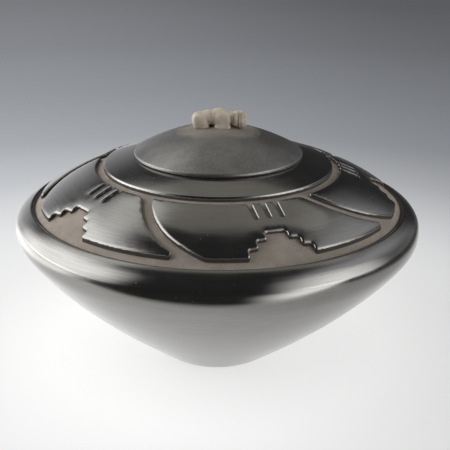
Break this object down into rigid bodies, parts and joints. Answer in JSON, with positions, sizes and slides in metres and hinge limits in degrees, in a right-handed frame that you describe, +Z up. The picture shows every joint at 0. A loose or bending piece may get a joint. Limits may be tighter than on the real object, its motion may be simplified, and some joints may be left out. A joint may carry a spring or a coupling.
{
  "type": "lidded pottery jar",
  "caption": "Wide, keeled, burnished black pottery jar with a carved shoulder band and a lift-off domed lid with a bear-shaped handle.",
  "frame": {"origin": "middle of the jar's flat foot, on the surface it stands on", "axes": "+Z up along the jar's axis, -Y towards the side the picture shows, +X along the bear from tail to head"},
  "size_m": [0.23, 0.23, 0.145],
  "materials": {
    "jar_clay": "smoke-blackened clay, stone-burnished to a soft gloss, with a matte carved ground",
    "lid_clay": "smoke-blackened clay, burnished to a satin gunmetal sheen",
    "ring_clay": "smoke-blackened clay, wiped smooth, unpolished",
    "bear_clay": "unpolished grey-tan clay, matte"
  },
  "bodies": {
    "jar": {"jar": "jar_clay"},
    "lid": {"lid": "lid_clay", "locating_ring": "ring_clay", "bear_handle": "bear_clay"}
  },
  "joints": [
    {"name": "lid_lift", "type": "slide", "parent": "jar", "child": "lid", "axis": [0, 0, 1], "range_m": [0, 0.06]}
  ]
}
